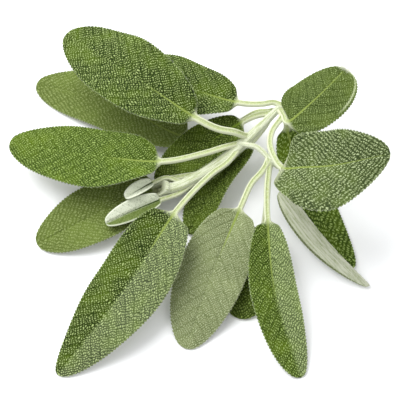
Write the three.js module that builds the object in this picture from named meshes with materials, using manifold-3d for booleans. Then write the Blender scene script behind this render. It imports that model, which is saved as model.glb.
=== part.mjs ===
// A cut sprig of common sage that lies on a flat surface: a felted, roughly square stem with a thin side
// shoot, and pebbled leaves on long petioles. Millimetres, +Z up. Seen from the front, X runs to the right
// and Y away. The layout is drawn about a point near the stem, and is then moved onto the sprig's origin.
import * as THREE from "three";
import { mergeVertices } from "three/addons/utils/BufferGeometryUtils.js";
import Module from "manifold-3d";

const wasm = await Module();
wasm.setup();

const FOOTPRINT_SHIFT = [2.2, -1.9]; // moves the layout so that the middle of its footprint is the origin
const GAP = 0.3; // clear distance kept between pieces that touch
const CURVE_DIVISIONS = 400;
const WELD = 1e-4;
const LEAST_BEND = 1e-4; // radians, below which a half counts as flat

const BLADE_THICKNESS = 0.8;
const EDGE_THICKNESS = 0.6;
const PEBBLE_HEIGHT = 0.28; // how far the pebbled cells rise, and the net between them sinks
const TOOTH_DEPTH = 0.4; // rounded teeth along the margin
const TEETH_BEGIN = [0.03, 0.12]; // the shares of the blade between which the teeth reach their depth
const TEETH_END = 0.08; // the share of the blade before its tip over which they fade
const RELIEF_END = 0.05; // the same for the cells
const WAVE_BEGIN = 0.15; // the share of the blade over which its waves reach their height
const MIDRIB_GROOVE = 0.4; // the trough over the midrib
const PETIOLE_RADIUS = 1.1;
const PETIOLE_SIDES = 10;
const PETIOLE_EDGE = 0.15; // half the thickness of a petiole at its two sides
const SLEEVE_REACH = 0.9; // the share of a petiole that later pieces are cut clear of
const SLEEVE_RINGS = 8;
const TIP_HALF_WIDTH = 0.5;
const BLADE_OPENING = 0.06; // the share of the blade's length over which the petiole widens into it
const KEEL_TAPER = 0.75; // how much of the petiole's radius the raised midrib below has lost at the tip
const RING_BUNCHING = 0.35; // how far the blade's rings move towards its two ends
const FULL_RELIEF_WIDTH = 7; // the half width from which the cells have their whole height

const STEM_RADIUS = 2.0;
const STEM_TOP_RADIUS = 1.3;
const CUT_FLARE = 0.5; // how much the cut end is crushed wider
const FLARE_REACH = 0.08; // the share of the stem over which the crushed end narrows again
const CUT_SLANT = 1.3; // how far the slanting cut goes back for each millimetre of height
const CUT_REACH = 0.14; // the share of the stem over which its sections lean with the cut
const PITH_RADIUS = 1.4;
const PITH_DEPTH = 4;
const PITH_MOUTH = 4; // how far outside the end the hollow starts, to reach past the slanting cut
const PITH_TAPER = 0.4;
const PITH_RINGS = 3;
const PITH_SIDES = 8;
const STEM_SQUARENESS = 0.06;
const STEM_RINGS = 26;
const STEM_SIDES = 12;
const SHOOT_RADIUS = 1.0;
const KNOB_RADIUS = 1.7;
const KNOB_SWELLS = [0.7, 0.85]; // the shares of the shoot between which its node swells
const KNOB_SHRINKS = [0.88, 1];
const KNOB_END_LOSS = 0.6; // how much of the swelling the very end has lost
const SHOOT_RINGS = 18;

const STEM_ROUTE = [
  [-15.5, 6, 9], [-8.5, 6.5, 10], [-1.5, 9.5, 11.5], [6, 14, 13], [15, 21, 15.5],
  [22.5, 28.5, 17], [28, 34, 18.5], [31, 37, 18.5],
];
const SHOOT_ROUTE = [
  [14.5, 21, 16.5], [17.5, 19.5, 18], [20.5, 18, 19], [23, 15.5, 19.3], [25.5, 12.5, 19], [28, 11, 18.5],
];

// Each leaf has a route from the stem along its petiole, then its midrib from blade base to tip. Section
// values are given at the base, the middle and the tip of the blade. Roll lifts the right half, seen from the
// base towards the tip, fold lifts each half from the midrib, and curl is what it turns further on its way to
// the margin, all in degrees. Share is how wide a half is against the leaf's even shape.
const LEAVES = [
  {
    name: "leaf_upper_left",
    petiole: [[17.5, 24, 16], [12.5, 23.5, 20.5], [6.5, 24, 22]],
    midrib: [[-1, 27, 24], [-23.5, 43, 27], [-50, 66.5, 21.5]],
    width: 26, taper: [0.58, 0.6], roll: [12, 12, 5], stalk: 1.3,
    left: { fold: [20, 12, 5], curl: [0, -14, -15] }, right: { fold: [24, 12, 5], curl: [0, -10, -10] },
    wave: 0.8, waves: 2.5, rings: 24, columns: 8, colour: 0x6c8a45,
  },
  {
    name: "leaf_behind_upper",
    petiole: [[30.5, 35.5, 19], [27, 37, 19.5], [22.5, 36, 20]],
    midrib: [[14.5, 36.5, 20], [-6.5, 45, 19], [-27, 60.5, 14]],
    width: 23, taper: [0.5, 0.55], roll: [0, 5, 0],
    left: { fold: [15, 5, 0], curl: [0, -5, 0] },
    right: { fold: [15, 5, 0], curl: [0, -10, -10], share: [0.9, 0.91, 1] },
    wave: 0.6, waves: 2, rings: 18, columns: 8, colour: 0x66843f,
  },
  {
    name: "leaf_mid_left",
    petiole: [[15.5, 22, 15.5], [9, 19, 17.5], [2, 16.5, 17.5]],
    midrib: [[-13.5, 13.5, 16.5], [-41.5, 17.5, 15], [-70, 25, 11]],
    width: 24, taper: [0.5, 0.55], roll: [0, 0, 0],
    left: { fold: [15, 0, 0], curl: [5, -8, 0], share: [1, 1.05, 1] },
    right: { fold: [12, 0, 2], curl: [0, -8, 0], share: [1, 0.95, 0.95] },
    wave: 0.5, waves: 2, rings: 22, columns: 8, colour: 0x6c8a45,
  },
  {
    name: "leaf_far_left",
    petiole: [[27, 35, 16.3], [21, 36.8, 13], [13, 34.5, 8.5]],
    midrib: [[-3.5, 31, 5], [-32, 48, 2], [-62.5, 58, 0.6]],
    width: 25, taper: [0.5, 0.55], roll: [0, 0, 0],
    left: { fold: [10, 4, 0], curl: [0, 0, 0] }, right: { fold: [10, 4, 0], curl: [0, 0, 0] },
    wave: 0.4, waves: 2, rings: 18, columns: 6, colour: 0x7f9a5c,
  },
  {
    name: "leaf_low_left",
    petiole: [[6.5, 14.5, 13], [2, 12, 11.5], [-6, 11, 10]],
    midrib: [[-16.5, 10, 7.5], [-37, -0.5, 3.5], [-59, -12, 0.4]],
    width: 23, taper: [0.5, 0.55], roll: [0, 0, 0],
    left: { fold: [4, 9, 6], curl: [0, -5, 0] }, right: { fold: [10, 4, 0], curl: [0, 0, 0] },
    wave: 0.4, waves: 2, rings: 18, columns: 8, colour: 0x728e4b,
  },
  {
    name: "leaf_bottom_left",
    petiole: [[14.5, 20.5, 15], [10, 13, 17], [3.5, 7, 17.5]],
    midrib: [[-8.5, -7.5, 17], [-26, -34, 10], [-49.5, -63.5, 0.3]],
    width: 25, taper: [0.42, 0.6], roll: [0, 0, 0],
    left: { fold: [18, 8, 4], curl: [5, -8, -5], share: [1.15, 1.1, 1] },
    right: { fold: [18, 8, 4], curl: [5, -8, -5], share: [0.95, 0.9, 0.75] },
    wave: 0.5, waves: 2, rings: 22, columns: 8, colour: 0x66843f,
  },
  {
    name: "leaf_bottom_mid",
    petiole: [[25, 12.5, 19.5], [22, 8, 18], [18.5, 4, 17]],
    midrib: [[14.5, -4.5, 14.5], [4, -29, 8], [-5, -53.5, 0.4]],
    width: 24, taper: [0.5, 0.56], roll: [0, 0, 0],
    left: { fold: [10, 3, 0], curl: [0, -8, -5], share: [1, 0.95, 0.85] },
    right: { fold: [10, 3, 0], curl: [0, -12, -5], share: [1, 1.03, 1] },
    wave: 0.4, waves: 2, rings: 20, columns: 8, colour: 0x93a378,
  },
  {
    name: "leaf_bottom_right",
    petiole: [[25, 12.5, 19.5], [24.5, 7, 17.5], [24, 1.5, 16.5]],
    midrib: [[24, -9.5, 15], [26.5, -37.5, 9], [35, -64.5, 0.3]],
    width: 18, taper: [0.5, 0.55], roll: [0, 5, 0],
    left: { fold: [25, 18, 10], curl: [5, -5, -5], share: [0.9, 0.85, 0.8] },
    right: { fold: [25, 18, 10], curl: [5, -5, -5] },
    wave: 0.4, waves: 2, rings: 20, columns: 8, colour: 0x6c8a45,
  },
  {
    name: "leaf_underside",
    petiole: [[28, 11, 18.5], [29.5, 11, 16]],
    midrib: [[30.5, 6, 14], [43, -11.8, 8.3], [60.5, -29.2, 1.2]],
    width: 13, taper: [0.4, 0.7], roll: [-95, -95, -95],
    left: { fold: [65, 68, 68], curl: [24, 24, 22] }, right: { fold: [70, 65, 60], curl: [10, 10, 10] },
    wave: 0, waves: 1, rings: 18, columns: 8, colour: 0xb0ba97,
  },
  {
    name: "leaf_top_right",
    petiole: [[29.5, 33, 20], [30.5, 29.5, 21.5]],
    midrib: [[31.5, 26.5, 22.5], [41, 33.5, 25.8], [53.5, 49, 23.5]],
    width: 21, taper: [0.36, 0.42], roll: [0, 0, 0],
    left: { fold: [5, -14, -8], curl: [0, -12, 0], share: [1, 1.07, 0.85] },
    right: { fold: [0, -12, -5], curl: [0, 25, 20], share: [1.08, 1.08, 1.08] },
    wave: 0.3, waves: 1, rings: 16, columns: 8, colour: 0x7c9560,
  },
  {
    name: "leaf_right",
    petiole: [[30, 30, 20.5], [25.8, 21, 24.5], [25, 15, 25.5], [26.5, 9.5, 25.5]],
    midrib: [[29, 5.5, 25.5], [36.5, 3.5, 29], [46.5, 1, 34.5], [65.5, 0, 44]],
    width: 27, opening: 0.03, taper: [0.38, 0.58], roll: [0, -10, -10],
    left: { fold: [15, 8, 5], curl: [5, -10, -5], share: [1.02, 0.97, 0.95] },
    right: { fold: [15, 8, 5], curl: [5, -10, -5], share: [1.25, 1.24, 0.87] },
    wave: 0.5, waves: 2, rings: 20, columns: 8, colour: 0x869a6e,
  },
  {
    name: "leaf_hidden_right",
    petiole: [[30.5, 35.5, 17.5], [32.5, 35.5, 14]],
    midrib: [[32, 32.5, 11], [42, 4, 1.5], [55, -22, 0.9]],
    width: 16, taper: [0.5, 0.55], roll: [0, 0, 0],
    left: { fold: [5, 0, 0], curl: [0, 0, 0], share: [1, 0.9, 0.75] },
    right: { fold: [5, 0, 0], curl: [0, 0, 0] },
    wave: 0, waves: 1, rings: 16, columns: 6, colour: 0x5e7c33,
  },
  {
    name: "leaf_hidden_bottom",
    petiole: [[25, 12, 17], [24.5, 6, 12], [24, -1, 9]],
    midrib: [[23, -7.5, 6.5], [18.5, -24, 4], [14, -42, 0.6]],
    width: 20, taper: [0.5, 0.55], roll: [0, 0, 0],
    left: { fold: [5, 0, 0], curl: [0, 0, 0] }, right: { fold: [5, 0, 0], curl: [0, 0, 0] },
    wave: 0, waves: 1, rings: 14, columns: 6, colour: 0x5e7c33,
  },
  {
    name: "leaf_hidden_mid",
    petiole: [[25.5, 32, 17.5], [24, 31, 13]],
    midrib: [[19, 25, 11], [7, 12.5, 6], [-4, -8, 1]],
    width: 15, taper: [0.5, 0.55], roll: [0, 0, 0],
    left: { fold: [30, 38, 20], curl: [0, 0, 0] }, right: { fold: [5, 0, 0], curl: [0, 0, 0] },
    wave: 0, waves: 1, rings: 14, columns: 6, colour: 0x5e7c33,
  },
  {
    name: "leaf_hidden_upper",
    petiole: [[26, 33.5, 17.3], [21.5, 33.5, 16.3]],
    midrib: [[16, 32.3, 14], [1, 23.5, 10], [-15.5, 9.5, 5]],
    width: 24, taper: [0.5, 0.5], roll: [0, 0, 0],
    left: { fold: [5, 0, 0], curl: [0, 0, 0] },
    right: { fold: [5, 0, 0], curl: [0, 0, 0], share: [0.7, 0.75, 0.75] },
    wave: 0, waves: 1, rings: 14, columns: 6, colour: 0x66843f,
  },
  {
    name: "young_leaf",
    petiole: [[0, 10, 11.5], [-4, 6.5, 10.5], [-8, 4, 9.5]],
    midrib: [[-14, 2, 8.9], [-24, -2.3, 8.3], [-34, -7, 7.3]],
    width: 8, taper: [0.36, 0.5], roll: [0, 0, 0], stalk: 0.9,
    left: { fold: [25, 8, 5], curl: [10, 10, 10] }, right: { fold: [45, 36, 32], curl: [10, 6, 6] },
    wave: 0, waves: 1, rings: 12, columns: 6, colour: 0xa7b486,
  },
  {
    name: "bud_leaf",
    petiole: [[-7, 8.3, 10.5], [-12, 9.8, 11.3]],
    midrib: [[-17, 7.8, 11.2], [-22, 4.4, 11.8], [-27, 1.2, 11.4]],
    width: 5.5, taper: [0.5, 0.5], roll: [0, 0, 0], stalk: 0.8,
    left: { fold: [30, 30, 30], curl: [10, 10, 10] }, right: { fold: [30, 30, 30], curl: [10, 10, 10] },
    wave: 0, waves: 1, rings: 8, columns: 4, colour: 0xb9c4a0,
  },
];

const EVEN = [1, 1, 1];
const UP = new THREE.Vector3(0, 0, 1);
const radians = THREE.MathUtils.degToRad;
const mix = THREE.MathUtils.lerp;
const smooth = THREE.MathUtils.smoothstep;

function curveThrough(points) {
  const knots = points.map((p) => new THREE.Vector3(...p));
  const curve = new THREE.CatmullRomCurve3(knots, false, "centripetal");
  curve.arcLengthDivisions = CURVE_DIVISIONS;
  return curve;
}

// A value given at the base, the middle and the tip of a blade, at the share s of its length.
function along([base, middle, tip], s) {
  return s < 0.5 ? mix(base, middle, smooth(s, 0, 0.5)) : mix(middle, tip, smooth(s, 0.5, 1));
}

// The half width of a blade, widest where its two tapers balance.
function bladeHalfWidth({ width, taper: [p, q] }, s) {
  const peak = p / (p + q);
  return ((width / 2) * (s ** p * (1 - s) ** q)) / (peak ** p * (1 - peak) ** q);
}

// The point and the face normal of a half at the share t of its way from the midrib to the margin: an arc
// that starts at the fold angle and turns by the curl.
function halfPoint(fold, curl, halfWidth, t) {
  const bend = Math.abs(curl) < LEAST_BEND ? LEAST_BEND : curl;
  const angle = fold + bend * t;
  return {
    across: (halfWidth * (Math.sin(angle) - Math.sin(fold))) / bend,
    lift: (halfWidth * (Math.cos(fold) - Math.cos(angle))) / bend,
    lean: Math.sin(angle),
    rise: Math.cos(angle),
  };
}

// The directions across and out of a curve, with roll turning them about it.
function frameAt(curve, u, roll) {
  const tangent = curve.getTangentAt(u);
  const right = new THREE.Vector3().crossVectors(tangent, UP).normalize();
  const normal = new THREE.Vector3().crossVectors(right, tangent);
  return {
    origin: curve.getPointAt(u),
    ahead: tangent,
    right: right.clone().multiplyScalar(Math.cos(roll)).addScaledVector(normal, Math.sin(roll)),
    normal: normal.clone().multiplyScalar(Math.cos(roll)).addScaledVector(right, -Math.sin(roll)),
  };
}

function place({ origin, right, normal }, x, y) {
  return origin.clone().addScaledVector(right, x).addScaledVector(normal, y);
}

// Closes a row of rings, each with the same even number of points, into one surface. splitOther says which
// quads are cut along their other diagonal. The ends are closed by strips between facing points.
function loft(rings, splitOther = () => false) {
  const count = rings[0].length;
  const points = rings.flat();
  const faces = [];
  for (let k = 0; k + 1 < rings.length; k++)
    for (let j = 0; j < count; j++) {
      const a = k * count + j;
      const b = k * count + ((j + 1) % count);
      const c = b + count;
      const d = a + count;
      if (splitOther(k, j)) faces.push(a, b, d, b, c, d);
      else faces.push(a, b, c, a, c, d);
    }
  const last = (rings.length - 1) * count;
  for (let j = 0; j + 1 < count / 2; j++) {
    const [a, b, c, d] = [j, j + 1, count - 2 - j, count - 1 - j];
    faces.push(b, a, d, b, d, c);
    faces.push(last + a, last + b, last + c, last + a, last + c, last + d);
  }
  const geometry = new THREE.BufferGeometry().setFromPoints(points);
  geometry.setIndex(faces);
  return geometry;
}

function solid(geometry) {
  const bare = geometry.clone();
  bare.deleteAttribute("normal");
  bare.deleteAttribute("uv");
  const merged = mergeVertices(bare, WELD);
  return new wasm.Manifold(
    new wasm.Mesh({
      numProp: 3,
      vertProperties: merged.attributes.position.array,
      triVerts: new Uint32Array(merged.index.array),
    }),
  );
}

// The biggest body of a cut piece: a cut through a petiole can leave a scrap on the far side of the stem.
function largest(piece) {
  return piece.decompose().reduce((best, body) => (body.volume() > best.volume() ? body : best));
}

// A round bar along a curve, with a radius for each share of its length. Its section can be squared off, and
// it can lean ahead along the curve by a slant times its height.
function bar(curve, radiusAt, rings, sides, squareness = 0, slantAt = () => 0) {
  const made = [];
  for (let k = 0; k <= rings; k++) {
    const u = k / rings;
    const frame = frameAt(curve, u, 0);
    const ring = [];
    for (let j = 0; j < sides; j++) {
      const angle = (-2 * Math.PI * j) / sides;
      const radius = radiusAt(u) * (1 - squareness * Math.cos(4 * angle));
      const height = radius * Math.sin(angle);
      const point = place(frame, radius * Math.cos(angle), height);
      ring.push(point.addScaledVector(frame.ahead, slantAt(u) * height));
    }
    made.push(ring);
  }
  return solid(loft(made));
}

function leafCurve(leaf) {
  const curve = curveThrough([...leaf.petiole, ...leaf.midrib]);
  const baseAt = leaf.petiole.length / (leaf.petiole.length + leaf.midrib.length - 1);
  const lengths = curve.getLengths(CURVE_DIVISIONS);
  return { curve, base: lengths[Math.round(baseAt * CURVE_DIVISIONS)] / lengths.at(-1) };
}

// One leaf: a round petiole that widens and flattens into the blade, whose cells rise and sink by turns.
function leafSolid(leaf) {
  const { curve, base } = leafCurve(leaf);
  const columns = leaf.columns;
  const petioleRadius = leaf.stalk ?? PETIOLE_RADIUS;
  const petioleRings = 2 * leaf.petiole.length + 1;
  const shares = [];
  for (let k = 0; k < petioleRings; k++) shares.push((base * k) / petioleRings);
  for (let k = 0; k <= leaf.rings; k++) {
    const even = k / leaf.rings;
    shares.push(base + (1 - base) * mix(even, 0.5 - 0.5 * Math.cos(Math.PI * even), RING_BUNCHING));
  }
  const rings = shares.map((u, k) => {
    const s = Math.max(0, (u - base) / (1 - base));
    const blade = smooth(s, 0, leaf.opening ?? BLADE_OPENING);
    const toothed = smooth(s, ...TEETH_BEGIN) * smooth(1 - s, 0, TEETH_END);
    const tooth = TOOTH_DEPTH * (k % 2 ? 0.5 : -0.5) * toothed;
    const halfWidth = mix(petioleRadius, bladeHalfWidth(leaf, s) + TIP_HALF_WIDTH + tooth, blade);
    const keel = petioleRadius * (1 - KEEL_TAPER * s);
    const fullness = blade * Math.min(1, halfWidth / FULL_RELIEF_WIDTH) * smooth(1 - s, 0, RELIEF_END);
    const relief = PEBBLE_HEIGHT * fullness;
    const frame = frameAt(curve, u, radians(along(leaf.roll, s)));
    const wave = leaf.wave * Math.sin(2 * Math.PI * leaf.waves * s) * smooth(s, 0, WAVE_BEGIN);
    const upper = [];
    const lower = [];
    for (let j = 0; j <= columns; j++) {
      const a = (2 * j) / columns - 1;
      const side = a < 0 ? leaf.left : leaf.right;
      const t = Math.abs(a);
      const fold = radians(along(side.fold, s)) * blade;
      const curl = radians(along(side.curl, s)) * blade;
      const share = mix(1, along(side.share ?? EVEN, s), blade);
      const at = halfPoint(fold, curl, halfWidth * share, t);
      const inner = t > 0 && t < 1;
      const bump = inner ? relief * ((j + k) % 2 ? 1 : -1) : 0;
      const bladeHalf = (t === 1 ? EDGE_THICKNESS : BLADE_THICKNESS) / 2;
      const petioleHalf = Math.max(petioleRadius * Math.sqrt(1 - t * t), PETIOLE_EDGE);
      const top = mix(petioleHalf, bladeHalf + bump - (t === 0 ? MIDRIB_GROOVE : 0), blade);
      const bottom = mix(petioleHalf, bladeHalf - bump + (t === 0 ? keel : 0), blade);
      const x = Math.sign(a) * at.across;
      const y = at.lift + wave * t * t;
      const leanX = -Math.sign(a) * at.lean;
      upper.push(place(frame, x + leanX * top, y + at.rise * top));
      lower.push(place(frame, x - leanX * bottom, y - at.rise * bottom));
    }
    return [...upper, ...lower.reverse()];
  });
  const column = (j) => (j <= columns ? j : 2 * columns + 1 - j);
  return solid(
    loft(rings, (k, j) => {
      const low = Math.min(column(j), column(j + 1));
      const rises = (low + k) % 2 === 1;
      return j < columns ? rises : !rises;
    }),
  );
}

function petioleSleeve(leaf, extra) {
  const { curve, base } = leafCurve(leaf);
  const marks = [0, 0.25, 0.5, 0.75, 1];
  const route = curveThrough(marks.map((u) => curve.getPointAt(u * base * SLEEVE_REACH).toArray()));
  return bar(route, () => (leaf.stalk ?? PETIOLE_RADIUS) + extra, SLEEVE_RINGS, PETIOLE_SIDES);
}

function stemSolid(extra) {
  const flare = (u) => 1 + CUT_FLARE * (1 - smooth(u, 0, FLARE_REACH));
  return bar(
    curveThrough(STEM_ROUTE),
    (u) => mix(STEM_RADIUS, STEM_TOP_RADIUS, smooth(u, 0.5, 1)) * flare(u) + extra,
    STEM_RINGS, STEM_SIDES, STEM_SQUARENESS,
    (u) => CUT_SLANT * (1 - smooth(u, 0, CUT_REACH)),
  );
}

function pithHollow() {
  const [start, next] = STEM_ROUTE.map((p) => new THREE.Vector3(...p));
  const inward = next.clone().sub(start).normalize();
  const mouth = start.clone().addScaledVector(inward, -PITH_MOUTH);
  const end = start.clone().addScaledVector(inward, PITH_DEPTH);
  const radius = (u) => PITH_RADIUS * (1 - PITH_TAPER * u);
  return bar(curveThrough([mouth.toArray(), end.toArray()]), radius, PITH_RINGS, PITH_SIDES);
}

function shootSolid(extra) {
  const knob = (u) => smooth(u, ...KNOB_SWELLS) * (1 - KNOB_END_LOSS * smooth(u, ...KNOB_SHRINKS));
  const radius = (u) => mix(SHOOT_RADIUS, KNOB_RADIUS, knob(u)) + extra;
  return bar(curveThrough(SHOOT_ROUTE), radius, SHOOT_RINGS, PETIOLE_SIDES);
}

function belowSurface() {
  const [reach, depth] = [400, 50];
  return solid(new THREE.BoxGeometry(reach, reach, depth).translate(0, 0, -depth / 2));
}

const group = new THREE.Group();
group.position.set(FOOTPRINT_SHIFT[0], FOOTPRINT_SHIFT[1], 0);

function addPiece(name, piece, colour, roughness) {
  const mesh = piece.getMesh();
  const geometry = new THREE.BufferGeometry();
  geometry.setAttribute("position", new THREE.BufferAttribute(mesh.vertProperties, 3));
  geometry.setIndex(new THREE.BufferAttribute(mesh.triVerts, 1));
  geometry.computeVertexNormals();
  const finish = new THREE.MeshStandardMaterial({ color: colour, roughness, metalness: 0 });
  const made = new THREE.Mesh(geometry, finish);
  made.name = name;
  group.add(made);
}

const surface = belowSurface();
const stem = stemSolid(0).subtract(pithHollow());
let taken = stemSolid(GAP);
addPiece("main_stem", stem, 0xd9dccb, 0.9);
addPiece("side_shoot", largest(shootSolid(0).subtract(taken)), 0xd3d8b8, 0.85);
taken = taken.add(shootSolid(GAP));
for (const leaf of LEAVES) {
  addPiece(leaf.name, largest(leafSolid(leaf).subtract(taken).subtract(surface)), leaf.colour, 0.7);
  taken = taken.add(petioleSleeve(leaf, GAP));
}

export default group;
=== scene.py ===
import math

import bpy
import numpy as np
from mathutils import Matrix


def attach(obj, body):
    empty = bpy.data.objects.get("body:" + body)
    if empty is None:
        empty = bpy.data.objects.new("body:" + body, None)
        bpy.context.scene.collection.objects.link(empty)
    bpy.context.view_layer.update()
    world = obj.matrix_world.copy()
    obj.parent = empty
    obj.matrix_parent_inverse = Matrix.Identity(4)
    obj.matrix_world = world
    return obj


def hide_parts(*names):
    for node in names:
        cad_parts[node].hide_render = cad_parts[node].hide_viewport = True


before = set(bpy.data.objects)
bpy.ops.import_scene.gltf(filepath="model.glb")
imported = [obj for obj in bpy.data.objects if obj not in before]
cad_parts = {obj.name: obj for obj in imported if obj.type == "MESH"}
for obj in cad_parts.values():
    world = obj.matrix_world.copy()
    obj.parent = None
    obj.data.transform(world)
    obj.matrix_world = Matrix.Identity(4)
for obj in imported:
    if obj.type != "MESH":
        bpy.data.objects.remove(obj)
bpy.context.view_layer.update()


# The surface and the light
# The sprig lies on a plain white surface, in soft light from a wide window above it, behind and at the left,
# and a pale room all round. The camera looks down on it from the front, and from well back.
MM = 0.001
VIEW_ELEVATION = math.radians(60)
VIEW_DISTANCE = 620 * MM
VIEW_WIDTH = 144 * MM  # what the picture spans at the target
VIEW_TARGET = (2.2 * MM, -1.9 * MM, 12 * MM)
SENSOR = 36.0
SURFACE_SIZE = 4.0
SURFACE_DROP = 0.1 * MM  # how far the surface lies under the sprig's lowest point
ROOM_LIGHT = 0.9
WINDOW_POWER = 17.0
WINDOW_SIZE = 1.0
WINDOW_FROM = (-0.5, 0.4, 0.95)

scene = bpy.context.scene
scene.view_settings.view_transform = "Standard"

eye = bpy.data.objects.new("eye", bpy.data.cameras.new("eye"))
eye.data.sensor_width = SENSOR
eye.data.lens = SENSOR * VIEW_DISTANCE / VIEW_WIDTH
eye.data.clip_start, eye.data.clip_end = 0.05, 10.0
eye.rotation_euler = (math.pi / 2 - VIEW_ELEVATION, 0, 0)
eye.location = (
    VIEW_TARGET[0],
    VIEW_TARGET[1] - VIEW_DISTANCE * math.cos(VIEW_ELEVATION),
    VIEW_TARGET[2] + VIEW_DISTANCE * math.sin(VIEW_ELEVATION),
)
scene.collection.objects.link(eye)
scene.camera = eye

window = bpy.data.objects.new("window", bpy.data.lights.new("window", "AREA"))
window.data.energy = WINDOW_POWER
window.data.size = WINDOW_SIZE
window.location = WINDOW_FROM
towards = -np.array(WINDOW_FROM)
window.rotation_euler = (
    math.atan2(math.hypot(towards[0], towards[1]), -towards[2]),
    0,
    math.atan2(towards[1], towards[0]) - math.pi / 2,
)
scene.collection.objects.link(window)

scene.world = bpy.data.worlds.new("pale room")
scene.world.use_nodes = True
scene.world.node_tree.nodes["Background"].inputs["Color"].default_value = (1.0, 1.0, 1.0, 1)
scene.world.node_tree.nodes["Background"].inputs["Strength"].default_value = ROOM_LIGHT


class Wire:
    """An output socket of a node. Arithmetic on wires adds Math nodes to their tree."""

    def __init__(self, tree, socket):
        self.tree = tree
        self.socket = socket

    def maths(self, operation, *values):
        return self.tree.node("ShaderNodeMath", {"operation": operation}, dict(enumerate(values)))

    def __add__(self, other):
        return self.maths("ADD", self, other)

    def __sub__(self, other):
        return self.maths("SUBTRACT", self, other)

    def __mul__(self, other):
        return self.maths("MULTIPLY", self, other)

    def __truediv__(self, other):
        return self.maths("DIVIDE", self, other)

    __radd__ = __add__
    __rmul__ = __mul__

    def __rsub__(self, other):
        return self.maths("SUBTRACT", other, self)

    def least(self, other):
        return self.maths("MINIMUM", self, other)

    def most(self, other):
        return self.maths("MAXIMUM", self, other)

    def output(self, key):
        """Another output of the node that this wire comes from."""
        return Wire(self.tree, self.socket.node.outputs[key])

    def rise(self, start, end):
        """Goes from 0 to 1, smoothly, as this wire goes from start to end."""
        sockets = {0: self, 1: start, 2: end}
        return self.tree.node("ShaderNodeMapRange", {"interpolation_type": "SMOOTHSTEP"}, sockets)


class Tree:
    """The nodes of one material or one Geometry Nodes group."""

    def __init__(self, tree):
        self.tree = tree
        tree.nodes.clear()

    def node(self, kind, settings, sockets, output=0):
        """Adds a node: its settings first, then a value or a wire for each socket by its name or number."""
        made = self.tree.nodes.new(kind)
        for key, value in settings.items():
            setattr(made, key, value)
        for key, value in sockets.items():
            if isinstance(value, Wire):
                self.tree.links.new(value.socket, made.inputs[key])
            else:
                made.inputs[key].default_value = value
        return Wire(self, made.outputs[output]) if made.outputs else None

    def attribute(self, name, output="Fac"):
        return self.node("ShaderNodeAttribute", {"attribute_name": name}, {}, output)

    def tint(self, factor, first, second):
        """A colour that goes from the first to the second by the factor."""
        return self.node("ShaderNodeMix", {"data_type": "RGBA"}, {0: factor, 6: first, 7: second}, 2)

    def grain(self, size, detail=2.0, roughness=0.5):
        """Even noise between 0 and 1, with grains of this size in metres."""
        place = self.node("ShaderNodeTexCoord", {}, {}, "Object")
        sockets = {"Vector": place, "Scale": 1 / size, "Detail": detail, "Roughness": roughness}
        return self.node("ShaderNodeTexNoise", {}, sockets)

    def streaks(self, scale):
        """Noise drawn out along a stem or a blade, by its "streak_at" attribute in millimetres."""
        place = self.attribute("streak_at", "Vector")
        return self.node("ShaderNodeTexNoise", {}, {"Vector": place, "Scale": scale, "Detail": 2.0})


def colour(red, green, blue):
    """A shader's colour from the red, green and blue, 0 to 255, that the eye reads on the real thing."""
    shares = np.array([red, green, blue]) / 255
    straight = np.where(shares <= 0.04045, shares / 12.92, ((shares + 0.055) / 1.055) ** 2.4)
    return (*straight.tolist(), 1.0)


def finish(name, paint, relief=None, relief_depth=0.0, **constants):
    """A matt material: paint and relief are wires made by a function of the material's tree."""
    material = bpy.data.materials.new(name)
    material.use_nodes = True
    tree = Tree(material.node_tree)
    sockets = {"Base Color": paint(tree), **constants}
    if relief:
        bump = {"Height": relief(tree), "Distance": relief_depth, "Strength": 1.0}
        sockets["Normal"] = tree.node("ShaderNodeBump", {}, bump)
    surface = tree.node("ShaderNodeBsdfPrincipled", {}, sockets)
    tree.node("ShaderNodeOutputMaterial", {}, {"Surface": surface})
    return material


SURFACE_WHITE = colour(243, 244, 246)
floor_mesh = bpy.data.meshes.new("surface")
half = SURFACE_SIZE / 2
corners = [(-half, -half, -SURFACE_DROP), (half, -half, -SURFACE_DROP), (half, half, -SURFACE_DROP)]
floor_mesh.from_pydata([*corners, (-half, half, -SURFACE_DROP)], [], [(0, 1, 2, 3)])
floor = bpy.data.objects.new("surface", floor_mesh)
scene.collection.objects.link(floor)
floor.data.materials.append(
    finish("white_surface", lambda tree: SURFACE_WHITE, Roughness=0.9, **{"Specular IOR Level": 0.1})
)


# The main stem
# A woody green stem, squarish with a furrow down each face, under a close white felt. It was cut off at the
# lower left, where the cut spreads round the dark, half hollow pith, and it thins towards the upper right.
FOOTPRINT_SHIFT = np.array([2.2, -1.9, 0.0])  # the layout below is in millimetres about a point near the stem
STEM_RADIUS = 2.0
STEM_TOP_RADIUS = 1.3
CUT_FLARE = 0.5
CUT_SLANT = 1.3  # how far the slanting cut goes back for each millimetre of height
CUT_REACH = 0.14  # the share of the stem over which its sections lean with the cut
PITH_PROFILE = [  # depth below the cut and radius, from the torn pith left in the middle out to the rim
    (0.9, 0.15), (0.8, 0.45), (1.0, 0.68), (1.8, 0.8), (2.8, 0.88), (3.2, 1.0),
    (2.8, 1.12), (1.6, 1.22), (0.6, 1.3), (0.15, 1.38), (0.0, 1.5),
]
PITH_SQUARE = 0.1
STEM_ROUTE = [
    (-15.5, 6, 9), (-8.5, 6.5, 10), (-1.5, 9.5, 11.5), (6, 14, 13), (15, 21, 15.5),
    (22.5, 28.5, 17), (28, 34, 18.5), (31, 37, 18.5),
]
STEM_SQUARE = 0.06  # how far the corners of its section stand out, as a share of its radius
STEM_SIDES = 64
FURROW_DEPTH = 0.05
FURROW_WIDTH = 0.5
STREAK_SQUEEZE = 0.08  # how much shorter the streaks in the felt's pattern are than on the stem
FELT_WHITE = colour(220, 223, 206)
FELT_SHADE = colour(180, 188, 154)
STEM_GREEN = colour(150, 162, 104)
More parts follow.
